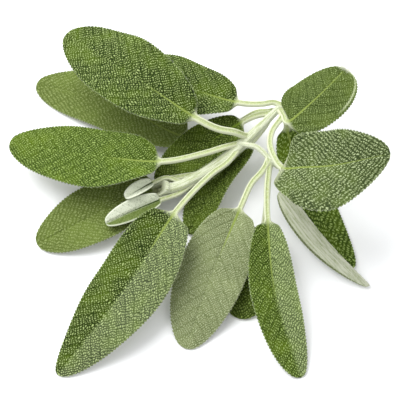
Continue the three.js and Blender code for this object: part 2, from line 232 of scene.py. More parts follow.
PITH_GREY = colour(122, 128, 92)
DOWN_COLOUR = colour(228, 232, 216)


def smooth(x, start, end):
    share = np.clip((x - start) / (end - start), 0, 1)
    return share * share * (3 - 2 * share)


def bell(x, width):
    return np.exp(-((x / width) ** 2))


class Route:
    """A centripetal Catmull-Rom curve through its points, read by the share of its length."""

    STEPS = 200  # samples on each stretch between two points

    def __init__(self, points):
        points = np.array(points, float)
        ends = 2 * points[[0, -1]] - points[[1, -2]]
        points = np.vstack([ends[0], points, ends[1]])
        parts = []
        for p0, p1, p2, p3 in zip(points, points[1:], points[2:], points[3:]):
            gaps = [np.linalg.norm(b - a) ** 0.5 for a, b in ((p0, p1), (p1, p2), (p2, p3))]
            leave = ((p1 - p0) / gaps[0] - (p2 - p0) / (gaps[0] + gaps[1]) + (p2 - p1) / gaps[1]) * gaps[1]
            reach = ((p2 - p1) / gaps[1] - (p3 - p1) / (gaps[1] + gaps[2]) + (p3 - p2) / gaps[2]) * gaps[1]
            t = np.linspace(0, 1, self.STEPS + 1)[:-1, None]
            cubic = 2 * p1 - 2 * p2 + leave + reach
            square = -3 * p1 + 3 * p2 - 2 * leave - reach
            parts.append(p1 + leave * t + square * t**2 + cubic * t**3)
        self.samples = np.vstack([*parts, points[-2]])
        steps = np.linalg.norm(np.diff(self.samples, axis=0), axis=1)
        self.shares = np.concatenate([[0], np.cumsum(steps)])
        self.length = self.shares[-1]
        self.shares /= self.length

    def at(self, shares):
        return np.stack([np.interp(shares, self.shares, self.samples[:, axis]) for axis in range(3)], -1)

    def frames(self, shares, roll=0.0):
        """The points at these shares, with the directions across and out of the curve, turned by the roll."""
        step = 0.5 / self.length
        ahead = self.at(np.clip(shares + step, 0, 1)) - self.at(np.clip(shares - step, 0, 1))
        ahead /= np.linalg.norm(ahead, axis=1)[:, None]
        right = np.cross(ahead, [0, 0, 1])
        right /= np.linalg.norm(right, axis=1)[:, None]
        normal = np.cross(right, ahead)
        turn, lift = np.cos(roll), np.sin(roll)
        if np.ndim(roll):
            turn, lift = turn[:, None], lift[:, None]
        return self.at(shares), right * turn + normal * lift, normal * turn - right * lift


def loft(name, rings, facts):
    """A closed smooth mesh over rings of layout points, in millimetres, with a pole at each end."""
    layers, count, _ = rings.shape
    poles = [rings[0].mean(axis=0), rings[-1].mean(axis=0)]
    points = (np.vstack([rings.reshape(-1, 3), *poles]) + FOOTPRINT_SHIFT) * MM
    index = np.arange(layers * count).reshape(layers, count)
    low, high = index[:-1], index[1:]
    quads = np.stack([low, np.roll(low, -1, 1), np.roll(high, -1, 1), high], -1).reshape(-1, 4)
    first, last = layers * count, layers * count + 1
    fans = [(first, b, a) for a, b in zip(index[0], np.roll(index[0], -1))]
    fans += [(last, a, b) for a, b in zip(index[-1], np.roll(index[-1], -1))]
    mesh = bpy.data.meshes.new(name)
    mesh.from_pydata(points.tolist(), [], quads.tolist() + fans)
    for key, values in facts.items():
        flat = values.reshape(layers * count, -1)
        closing = [values[0].reshape(count, -1).mean(axis=0), values[-1].reshape(count, -1).mean(axis=0)]
        flat = np.vstack([flat, *closing])
        kind = "FLOAT" if flat.shape[1] == 1 else "FLOAT_VECTOR"
        field = "value" if flat.shape[1] == 1 else "vector"
        mesh.attributes.new(key, kind, "POINT").data.foreach_set(field, flat.ravel())
    mesh.shade_smooth()
    piece = bpy.data.objects.new(name, mesh)
    scene.collection.objects.link(piece)
    return piece


class Recipe(Tree):
    """A Geometry Nodes group with named inputs. grow() runs it on a piece and keeps the plain mesh."""

    def __init__(self, name, inputs):
        self.group = bpy.data.node_groups.new(name, "GeometryNodeTree")
        super().__init__(self.group)
        face = self.group.interface
        self.sockets = {}
        for key, kind in {"Geometry": "Geometry", **inputs}.items():
            self.sockets[key] = face.new_socket(key, in_out="INPUT", socket_type=f"NodeSocket{kind}")
        face.new_socket("Geometry", in_out="OUTPUT", socket_type="NodeSocketGeometry")
        self.entry = self.tree.nodes.new("NodeGroupInput")

    def given(self, key):
        return Wire(self, self.entry.outputs[key])

    def named(self, name, kind="FLOAT"):
        settings = {"data_type": kind}
        return self.node("GeometryNodeInputNamedAttribute", settings, {"Name": name}, "Attribute")

    def vector(self, operation, *values):
        return self.node("ShaderNodeVectorMath", {"operation": operation}, dict(enumerate(values)))

    def scaled(self, vector, factor):
        return self.node("ShaderNodeVectorMath", {"operation": "SCALE"}, {0: vector, "Scale": factor})

    def cells(self, feature, sockets):
        """The distance to a cell's middle or to its edge, in a flat pattern of uneven cells."""
        settings = {"voronoi_dimensions": "2D", "feature": feature}
        return self.node("ShaderNodeTexVoronoi", settings, sockets, "Distance")

    def stored(self, geometry, name, value):
        """The geometry with this value kept on its points as a named attribute."""
        settings = {"data_type": "FLOAT", "domain": "POINT"}
        sockets = {"Geometry": geometry, "Name": name, "Value": value}
        return self.node("GeometryNodeStoreNamedAttribute", settings, sockets)

    def close(self, geometry):
        end = self.tree.nodes.new("NodeGroupOutput")
        self.tree.links.new(geometry.socket, end.inputs[0])

    def grow(self, piece, values):
        modifier = piece.modifiers.new("grow", "NODES")
        modifier.node_group = self.group
        for key, value in values.items():
            modifier[self.sockets[key].identifier] = value
        depsgraph = bpy.context.evaluated_depsgraph_get()
        made = bpy.data.meshes.new_from_object(
            piece.evaluated_get(depsgraph), preserve_all_data_layers=True, depsgraph=depsgraph
        )
        piece.modifiers.clear()
        piece.data = made
        made.name = piece.name


def down_recipe():
    """Stands fine tapered hairs on a piece, as dense as the attribute named in Where says."""
    inputs = {
        "Where": "String", "Hairs per area": "Float", "Hair length": "Float", "Hair radius": "Float",
        "Lean": "Float", "Seed": "Int", "Skin": "Material", "Down": "Material",
    }
    tree = Recipe("down", inputs)
    skin = tree.given("Geometry")
    density = tree.given("Hairs per area") * tree.named(tree.given("Where"))
    sockets = {"Mesh": skin, "Density": density, "Seed": tree.given("Seed")}
    scatter = tree.node("GeometryNodeDistributePointsOnFaces", {"distribute_method": "RANDOM"}, sockets)
    sockets = {0: (-1, -1, -1), 1: (1, 1, 1), "Seed": tree.given("Seed")}
    sway = tree.node("FunctionNodeRandomValue", {"data_type": "FLOAT_VECTOR"}, sockets)
    leaning = tree.vector("ADD", scatter.output("Normal"), tree.scaled(sway, tree.given("Lean")))
    turned = tree.node("FunctionNodeAlignRotationToVector", {"axis": "Z"}, {"Vector": leaning})
    sockets = {
        "Vertices": 3, "Side Segments": 1, "Radius Top": 0.0,
        "Radius Bottom": tree.given("Hair radius"), "Depth": tree.given("Hair length"),
    }
    hair = tree.node("GeometryNodeMeshCone", {"fill_type": "NONE"}, sockets)
    size = tree.node("FunctionNodeRandomValue", {"data_type": "FLOAT"}, {2: 0.45, 3: 1.0, "Seed": 7}, 1)
    sockets = {"Points": scatter, "Instance": hair, "Rotation": turned, "Scale": size}
    stood = tree.node("GeometryNodeInstanceOnPoints", {}, sockets)
    stood = tree.node("GeometryNodeRealizeInstances", {}, {"Geometry": stood})
    stood = tree.stored(stood, "is_hair", 1.0)
    both = tree.node("GeometryNodeJoinGeometry", {}, {0: skin})
    tree.tree.links.new(stood.socket, both.socket.node.inputs[0])
    both = tree.node("GeometryNodeRealizeInstances", {}, {"Geometry": both})
    both = tree.node("GeometryNodeSetMaterial", {}, {"Geometry": both, "Material": tree.given("Skin")})
    sockets = {0: tree.named("is_hair"), 1: 0.5}
    is_hair = tree.node("FunctionNodeCompare", {"operation": "GREATER_THAN"}, sockets)
    sockets = {"Geometry": both, "Selection": is_hair, "Material": tree.given("Down")}
    tree.close(tree.node("GeometryNodeSetMaterial", {}, sockets))
    return tree


def down_paint(tree):
    return tree.tint(tree.grain(0.0006), DOWN_COLOUR, FELT_WHITE)


down = down_recipe()
down_finish = finish("white_down", down_paint, Roughness=0.8)


def felt_paint(tree):
    """White felt, rubbed thin along the furrows so that the green shows, and grey in the pith."""
    speckle = tree.grain(0.00025, 2).rise(0.25, 0.75)
    felted = tree.tint(speckle, FELT_SHADE, FELT_WHITE)
    rubbed = tree.attribute("furrow") * 0.45 + tree.streaks(2.2).rise(0.42, 0.66) * 0.7
    bare = tree.tint(rubbed.least(1.0), felted, STEM_GREEN)
    return tree.tint(tree.attribute("pith"), bare, PITH_GREY)


def felt_relief(tree):
    return tree.grain(0.00018, 3, 0.7)


stem_finish = finish(
    "stem_felt_white", felt_paint, felt_relief, 0.00012,
    Roughness=0.85, **{"Sheen Weight": 0.3, "Sheen Roughness": 0.5, "Specular IOR Level": 0.2},
)


def stem_rings(route, shares, radius_at, sides, square, slant=0.0):
    """The rings of a squarish stem, with a shallow furrow down the middle of each of its four faces."""
    angles = -2 * np.pi * np.arange(sides) / sides
    furrow = bell(np.sin(2 * (angles + np.pi / 4)), FURROW_WIDTH) * (np.cos(4 * angles) > 0)
    origin, right, normal = route.frames(shares)
    radius = radius_at(shares)[:, None] * (1 - square * np.cos(4 * angles) - FURROW_DEPTH * furrow)
    height = radius * np.sin(angles)
    lean = slant * (1 - smooth(shares, 0, CUT_REACH))[:, None] * height
    rings = origin[:, None] + (radius * np.cos(angles))[..., None] * right[:, None]
    rings = rings + height[..., None] * normal[:, None] + lean[..., None] * np.cross(normal, right)[:, None]
    along = STREAK_SQUEEZE * route.length * shares[:, None] * np.ones(sides)
    streak_at = np.stack([radius * np.cos(angles), height, along], -1)
    return rings, np.broadcast_to(furrow, rings.shape[:2]), streak_at


stem_route = Route(STEM_ROUTE)
stem_shares = np.linspace(0, 1, 190)


def stem_radius(u):
    flare = 1 + CUT_FLARE * (1 - smooth(u, 0, 0.08))
    return (STEM_RADIUS + (STEM_TOP_RADIUS - STEM_RADIUS) * smooth(u, 0.5, 1)) * flare


stem = (stem_route, stem_shares, stem_radius, STEM_SIDES, STEM_SQUARE, CUT_SLANT)
outside, furrow, streaks = stem_rings(*stem)
steps = np.linspace(0, len(PITH_PROFILE) - 1, 34)
depths, radii = (np.interp(steps, range(len(PITH_PROFILE)), column) for column in zip(*PITH_PROFILE))
hollow = (stem_route, depths / stem_route.length, lambda u: radii, STEM_SIDES, PITH_SQUARE, CUT_SLANT)
hollow, _, _ = stem_rings(*hollow)
lip = hollow[-1] + (outside[0] - hollow[-1]) * np.linspace(0.15, 0.85, 5)[:, None, None]
rings = np.vstack([hollow, lip, outside])
inner = len(hollow) + len(lip)
pith = np.concatenate([np.ones(len(hollow)), np.linspace(0.8, 0.1, len(lip)), np.zeros(len(outside))])
facts = {
    "furrow": np.vstack([np.zeros((inner, STEM_SIDES)), furrow]),
    "streak_at": np.concatenate([np.zeros((inner, STEM_SIDES, 3)), streaks]),
    "pith": np.repeat(pith[:, None], STEM_SIDES, axis=1),
    "downy": np.repeat((pith < 0.05).astype(float)[:, None], STEM_SIDES, axis=1),
}
main_stem = loft("main_stem_felted", rings, facts)
down.grow(main_stem, {
    "Where": "downy",
    "Hairs per area": 7e6, "Hair length": 0.9 * MM, "Hair radius": 0.018 * MM, "Lean": 0.9, "Seed": 3,
    "Skin": stem_finish, "Down": down_finish,
})
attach(main_stem, "root")
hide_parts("main_stem")


# The side shoot
# A thin young branch that arches off the stem and ends in the knob of a node, from which three leaves grow.
# It is rounder than the stem and felted white all over.
SHOOT_RADIUS = 1.0
KNOB_RADIUS = 1.7
SHOOT_ROUTE = [
    (14.5, 21, 16.5), (17.5, 19.5, 18), (20.5, 18, 19), (23, 15.5, 19.3), (25.5, 12.5, 19), (28, 11, 18.5),
]


def shoot_radius(u):
    knob = smooth(u, 0.7, 0.85) * (1 - 0.6 * smooth(u, 0.88, 1))
    return SHOOT_RADIUS + (KNOB_RADIUS - SHOOT_RADIUS) * knob


rings, furrow, streaks = stem_rings(Route(SHOOT_ROUTE), np.linspace(0, 1, 90), shoot_radius, 40, 0.02)
facts = {
    "furrow": furrow * 0.5, "streak_at": streaks,
    "pith": np.zeros(rings.shape[:2]), "downy": np.ones(rings.shape[:2]),
}
side_shoot = loft("side_shoot_felted", rings, facts)
down.grow(side_shoot, {
    "Where": "downy",
    "Hairs per area": 9e6, "Hair length": 0.8 * MM, "Hair radius": 0.018 * MM, "Lean": 0.9, "Seed": 5,
    "Skin": stem_finish, "Down": down_finish,
})
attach(side_shoot, "root")
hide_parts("side_shoot")


# The green leaves
# Oval blades on long channelled stalks, each grown as one piece. The face is puckered into rounded cells
# under a millimetre across, in rows along the sunken side veins. The margin has fine rounded teeth.
BLADE_HALF = 0.3
EDGE_HALF = 0.22
TOOTH_PITCH = 1.15
TOOTH_DEPTH = 0.42
TOOTH_FOOT = 0.6  # the share of a tooth's height at which the margin runs
STALK_RADIUS = 1.1
FOOT_SWELL = 0.35  # how much thicker a stalk is at its foot
FOOT_LENGTH = 3.0
CHANNEL_DEPTH = 0.45  # of the channel along the top of a stalk, as a share of its radius
CHANNEL_WIDTH = 0.42
RIB_WIDTH = 0.22
RIB_WIDENING = 0.36  # towards the base
RIB_RISE = 0.22
TROUGH_DEPTH = 0.38  # of the fold that the midrib lies in
TROUGH_SPREAD = 2.2
KEEL_RISE = 0.75  # of the midrib under the blade, as a share of the stalk's radius
KEEL_TAPER = 0.75
TIP_HALF_WIDTH = 0.5
ROW_STEP = 0.213  # between the mesh's rings, along the blade
COLUMN_STEP = 0.23
STALK_STEP = 0.5
LEAST_CURL = 1e-4
LEAST_HALF = 0.12
UNDER_COLUMNS = 24
VEIN_ANGLE = math.radians(48)  # between a side vein and the midrib
VEIN_BEND = 0.02
HALVES_APART = 90.0  # keeps the pattern of one half of a blade from mirroring the other


def by_length(values, s):
    """A section value given at the base, the middle and the tip of a blade."""
    base, middle, tip = values
    first = base + (middle - base) * smooth(s, 0, 0.5)
    return np.where(s < 0.5, first, middle + (tip - middle) * smooth(s, 0.5, 1))


def by_half(values, x, blend):
    """A value for each half of a blade, running into each other over the midrib."""
    left, right = values
    return left + (right - left) * smooth(x, -blend, blend)


def leaf_mesh(leaf):
    """A leaf's closed mesh, with what its relief, hairs and paint need to know kept on its points.

    s runs from 0 at the blade's base to 1 at its tip, and a from -1 at its left margin to 1 at the right one.
    w is the half's width there, t the share of it, and mixed is 0 on the stalk and 1 on the blade.
    """
    route = Route([*leaf["petiole"], *leaf["midrib"]])
    base = route.shares[len(leaf["petiole"]) * Route.STEPS]
    blade_length = (1 - base) * route.length
    stalk_length = base * route.length
    fine = leaf.get("fineness", 1.0)
    stalk_shares = np.linspace(0, base, int(stalk_length / STALK_STEP))[:-1]
    blade_rows = int(blade_length / (ROW_STEP * fine))
    shares = np.concatenate([stalk_shares, np.linspace(base, 1, blade_rows)])
    s = np.clip((shares - base) / (1 - base), 0, 1)
    blade = smooth(s, 0, leaf.get("opening", 0.06))
    p, q = leaf["taper"]
    peak = p / (p + q)
    swell = leaf["width"] / 2 * s**p * (1 - s) ** q / (peak**p * (1 - peak) ** q)
    stalk = leaf.get("stalk", STALK_RADIUS)
    teeth = TOOTH_DEPTH * (np.abs(np.sin(np.pi * s * blade_length / TOOTH_PITCH)) - TOOTH_FOOT)
    teeth *= smooth(s, 0.03, 0.12) * smooth(1 - s, 0, 0.03) * leaf.get("teeth", 1.0)
    foot = 1 + FOOT_SWELL * (1 - smooth(shares * route.length, 0, FOOT_LENGTH))
    margin = swell + TIP_HALF_WIDTH * smooth(1 - s, 0, 0.012) + teeth
    half_width = stalk * foot + (margin - stalk * foot) * blade
    origin, right, normal = route.frames(shares, np.radians(by_length(leaf["roll"], s)))
    wave = leaf["wave"] * np.sin(2 * np.pi * leaf["waves"] * s) * smooth(s, 0, 0.15)

    upper_count = int(leaf["width"] / (COLUMN_STEP * fine)) | 1
    even = np.linspace(-1, 1, upper_count)
    upper = even * (0.8 + 0.2 * np.abs(even))
    even = np.linspace(-1, 1, UNDER_COLUMNS | 1)
    under = (np.sign(even) * np.abs(even) ** 1.5)[::-1]
    columns = np.concatenate([upper, under])
    face = np.concatenate([np.ones(upper_count), -np.ones(UNDER_COLUMNS | 1)])
    a = columns[None]

    def on_side(key, default=None):
        left, right = (by_length(leaf[half].get(key, default), s)[:, None] for half in ("left", "right"))
        return np.where(a < 0, left, right)

    mixed = blade[:, None]
    w = half_width[:, None] * (1 + (on_side("share", (1, 1, 1)) - 1) * mixed)
    t = np.abs(a)
    fold = np.radians(on_side("fold")) * mixed
    curl = np.radians(on_side("curl")) * mixed
    curl = np.where(np.abs(curl) < LEAST_CURL, LEAST_CURL, curl)
    angle = fold + curl * t
    out = w * (np.sin(angle) - np.sin(fold)) / curl
    up = w * (np.cos(fold) - np.cos(angle)) / curl + wave[:, None] * t**2
    from_rib = w * t

    stalk_half = np.maximum(stalk * foot[:, None] * np.sqrt(np.clip(1 - t**2, 0, 1)), LEAST_HALF)
    channel = CHANNEL_DEPTH * stalk * bell(t, CHANNEL_WIDTH)
    rib_width = RIB_WIDTH + RIB_WIDENING * (1 - s[:, None]) ** 3
    trough = TROUGH_DEPTH * bell(from_rib, rib_width * TROUGH_SPREAD) * smooth(1 - s[:, None], 0, 0.1)
    rib = bell(from_rib, rib_width) * smooth(1 - s[:, None], 0, 0.08)
    rib_fade = 1 - 0.85 * smooth(s[:, None], 0.05, leaf.get("rib_reach", 0.55))
    edge = smooth(t, 0.93, 1.0)
    blade_half = BLADE_HALF + (EDGE_HALF - BLADE_HALF) * edge
    blade_half = blade_half * np.sqrt(np.clip(1 - smooth(t, 0.97, 1.0) ** 2, 0.05, 1))
    keel = stalk * (1 - KEEL_TAPER * s[:, None])
    keel_rise = keel * np.sqrt(np.clip(1 - (from_rib / keel) ** 2, 0, 1))
    close = np.clip(0.15 + smooth(1 - s[:, None], 0, 0.012), 0, 1)
    blade_top = blade_half - trough + RIB_RISE * rib * (1 - s[:, None])
    top = (stalk_half - channel) * (1 - mixed) + blade_top * mixed
    bottom = stalk_half * (1 - mixed) + (blade_half + KEEL_RISE * keel_rise) * mixed
    thick = np.where(face > 0, top, bottom) * close
    side = np.sign(a)
    x = side * out - side * np.sin(angle) * thick * face
    y = up + np.cos(angle) * thick * face
    rings = origin[:, None] + x[..., None] * right[:, None] + y[..., None] * normal[:, None]

    ones = np.ones_like(x)
    along = s[:, None] * blade_length
    across_veins = along * math.sin(VEIN_ANGLE) - from_rib * (math.cos(VEIN_ANGLE) + VEIN_BEND * from_rib)
    along_veins = along * math.cos(VEIN_ANGLE) + from_rib * math.sin(VEIN_ANGLE)
    along_veins = along_veins + np.where(a < 0, HALVES_APART, 0.0)
    is_upper = (face > 0) * ones
    inside = smooth(w - from_rib, 0.0, 0.5)
    rim = smooth(t, 1 - leaf.get("rim", 0.35) / np.maximum(w, 1), 1) * mixed
    # Painted highlight, with felt colour: a pale line along the crest where the right margin curls over, for
    # its felt and the light it catches.
    if "crest_felt_and_highlight" in leaf:
        crest_felt_and_highlight_line = bell((t - leaf["crest_felt_and_highlight"]) * w, 0.3) * (a > 0) * smooth(s[:, None], 0.4, 0.6)
        rim = np.maximum(rim, 3.2 * crest_felt_and_highlight_line)
    # Extra felt for each half. On leaf_bottom_left and leaf_bottom_right the paler half is painted sheen,
    # where that half catches the light; elsewhere it is real felt.
    felt_and_sheen = by_half(leaf.get("felt_and_sheen", (0.0, 0.0)), x, 1.0)
    facts = {
        "blade_at": np.stack([across_veins, along_veins, 0 * ones], -1),
        "streak_at": np.stack([side * from_rib, 0 * ones, STREAK_SQUEEZE * along * ones], -1),
        "upper": is_upper,
        "pucker": is_upper * mixed * inside * (1 - 0.9 * rib) * smooth(w, 0.5, 3.0),
        "net": (1 - is_upper) * mixed * inside,
        "rib": np.where(face > 0, rib * mixed * rib_fade + bell(t, 0.7) * (1 - mixed), 0.0),
        "stalk": (1 - smooth(s, 0.0, 0.05))[:, None] * ones,
        "felt_and_sheen": felt_and_sheen + leaf.get("tip_felt", 0) * smooth(s[:, None], 0.95, 1),
        "rim": rim,
        "downy": np.maximum((1 - mixed) * ones, smooth(t, 0.985, 1.0) * mixed * 2.5),
        "tuft": smooth(s[:, None], 0.97, 1) * (from_rib < 1.6),
    }
    return loft(leaf["name"] + "_blade", rings, facts)


def pucker_recipe():
    """Puckers a blade: rounded cells in rows along its side veins, and a coarser raised net underneath."""
    sizes = ("Cell", "Stretch", "Height", "Vein gap", "Vein depth", "Net height", "Seed")
    tree = Recipe("pucker", {**dict.fromkeys(sizes, "Float"), "Skin": "Material"})
    at = tree.named("blade_at", "FLOAT_VECTOR")
    shift = tree.node("ShaderNodeCombineXYZ", {}, {0: tree.given("Seed"), 1: 0.0, 2: 0.0})
    along = tree.node("ShaderNodeSeparateXYZ", {}, {0: at})
    spread = along.output(1)
    sockets = {"Vector": at, "Scale": 0.35, "Detail": 1.0}
    wander = tree.node("ShaderNodeTexNoise", {"noise_dimensions": "2D"}, sockets)
    wander = (wander - 0.5) * 2.2
    down_row = (along + wander) / tree.given("Cell")
    out_row = (spread + wander * 0.6) / (tree.given("Cell") * tree.given("Stretch"))
    cell_at = tree.node("ShaderNodeCombineXYZ", {}, {0: down_row, 1: out_row, 2: 0.0})
    cell_at = tree.vector("ADD", cell_at, shift)
    sockets = {"Vector": cell_at, "Scale": 1.0, "Randomness": 0.55}
    groove = tree.cells("DISTANCE_TO_EDGE", sockets)
    centre = tree.cells("F1", sockets)
    dome = groove.rise(0.0, 0.42) * (1 - centre * centre * 0.5).most(0.2)
    gaps = along / tree.given("Vein gap")
    row = gaps.maths("PINGPONG", gaps, 0.5) * tree.given("Vein gap")
    vein = 1 - row.rise(0.02, 0.4)
    pucker = tree.named("pucker")
    pebble = dome * (1 - vein * 0.5)
    lift = (pebble - 0.5) * tree.given("Height") * pucker
    lift = lift - vein * tree.given("Vein depth") * pucker
    coarse = tree.vector("MULTIPLY", cell_at, (0.55, 0.55, 0.0))
    sockets = {"Vector": coarse, "Scale": 1.0, "Randomness": 0.8}
    net = (1 - tree.cells("DISTANCE_TO_EDGE", sockets).rise(0.0, 0.3)).most(vein)
    lift = lift + net * tree.given("Net height") * tree.named("net")
    normal = tree.node("GeometryNodeInputNormal", {}, {})
    sockets = {"Geometry": tree.given("Geometry"), "Offset": tree.scaled(normal, lift)}
    moved = tree.node("GeometryNodeSetPosition", {}, sockets)
    both = pebble * tree.named("upper") + net * (1 - tree.named("upper"))
    kept = tree.stored(moved, "pebble", both)
    kept = tree.node("GeometryNodeRealizeInstances", {}, {"Geometry": kept})
    tree.close(tree.node("GeometryNodeSetMaterial", {}, {"Geometry": kept, "Material": tree.given("Skin")}))
    return tree


pucker = pucker_recipe()

RIB_GREEN = colour(124, 140, 66)
STALK_FELT = colour(204, 209, 180)
STALK_GREEN = colour(162, 174, 118)
RIM_FELT = colour(188, 198, 158)
UNDER_FELT = colour(188, 191, 172)
UNDER_GREEN = colour(134, 144, 106)


def leaf_finish(name, groove, flank, crown, patch, felt, rib=RIB_GREEN, rim=0.2, wool=RIM_FELT):
    """A leaf's finish, from painted shade in the grooves between its cells and in its sunken veins to crowns
    painted pale for their felt and for the light they catch, under some pale felt.
    """

    def paint(tree):
        pebble = tree.attribute("pebble")
        ragged = pebble + (tree.grain(0.0004, 2) - 0.5) * 0.25
        # Painted shade: the lower a point lies between the cells or in a vein, the darker it is painted.
        face = tree.tint(ragged.rise(0.1, 0.6), groove, flank)
        face = tree.tint(tree.grain(0.009, 2).rise(0.4, 0.75) * 0.5, face, patch)
        # Painted highlight, with real felt: the crowns of the cells are painted pale.
        face = tree.tint(ragged.rise(0.35, 0.9), face, crown)
        # Pale felt over the cells, and painted sheen on the half of a blade that is given extra.
        felt_and_sheen = tree.attribute("felt_and_sheen") + felt
        hairs = (tree.grain(0.00018, 2).rise(0.4, 0.75) + felt_and_sheen) * felt_and_sheen * pebble.rise(-0.3, 0.8)
        face = tree.tint(hairs.least(1.0), face, wool)
        under = tree.tint(tree.streaks(1.6).rise(0.35, 0.65), UNDER_GREEN, UNDER_FELT)
        under = tree.tint(tree.grain(0.0003, 2).rise(0.3, 0.7) * 0.35 + pebble * 0.3, under, UNDER_FELT)
        face = tree.tint(tree.attribute("upper").rise(0.3, 0.7), under, face)
        # The midrib's own colour; on the young leaves it is painted shade in the crease of the fold.
        face = tree.tint(tree.attribute("rib").rise(0.25, 0.8), face, rib)
        # The felted margin, and on leaf_top_right the painted highlight line along the curled margin's crest.
        face = tree.tint(tree.attribute("rim") * (rim + felt * 0.6), face, wool)
        rubbed = tree.grain(0.0005, 3).rise(0.35, 0.65)
        bare = tree.tint(rubbed * 0.5, STALK_GREEN, STALK_FELT)
        stalk = tree.tint(tree.attribute("rib").rise(0.3, 0.8), STALK_FELT, bare)
        return tree.tint(tree.attribute("stalk"), face, stalk)

    sheen = {"Sheen Weight": 0.1 * felt, "Sheen Roughness": 0.4, "Sheen Tint": RIM_FELT}
    return finish(name, paint, felt_relief, 0.00008, Roughness=0.6, **{"Specular IOR Level": 0.12}, **sheen)


# What a leaf is painted with: painted shade for its grooves and veins, its cells' slopes, crowns pale with
# felt and painted highlight, brighter patches, and felt.
GREEN = {
    "groove": colour(28, 45, 0), "flank": colour(74, 97, 14), "crown": colour(156, 172, 112),
    "patch": colour(90, 114, 8), "felt": 0.06,
}
# Painted light: a copy of the green finish with lighter grooves and slopes, for leaves that lie in full
# light.
LIT_GREEN = {
    "groove": colour(46, 66, 2), "flank": colour(86, 110, 18), "crown": colour(142, 162, 92),
    "patch": colour(98, 122, 12), "felt": 0.06,
}
SOFT_GREY = {
    "groove": colour(50, 66, 14), "flank": colour(80, 98, 34), "crown": colour(130, 147, 90),
    "patch": colour(86, 104, 28), "felt": 0.08,
}
GREY_GREEN = {
    "groove": colour(34, 50, 6), "flank": colour(84, 102, 42), "crown": colour(162, 175, 133),
    "patch": colour(92, 112, 40), "felt": 0.2,
}
PALE_FELT = {
    "groove": colour(88, 99, 56), "flank": colour(118, 128, 86), "crown": colour(154, 162, 126),
    "patch": colour(124, 136, 86), "felt": 0.35,
}
SOFT_GREEN = {
    "groove": colour(80, 95, 34), "flank": colour(102, 117, 54), "crown": colour(126, 140, 82),
    "patch": colour(100, 118, 46), "felt": 0.1,
}
YOUNG = {
    "groove": colour(78, 94, 38), "flank": colour(94, 110, 52), "crown": colour(112, 126, 70),
    # Its midrib colour is dark: painted shade in the crease of the folded young blade.
    "patch": colour(94, 112, 50), "felt": 0.05, "rim": 0.8, "rib": colour(56, 76, 20),
    "wool": colour(218, 224, 203),
}
DARK = {
    "groove": colour(46, 62, 4), "flank": colour(82, 102, 20), "crown": colour(126, 144, 76),
    "patch": colour(92, 114, 18), "felt": 0.05, "rib": colour(110, 134, 40),
}

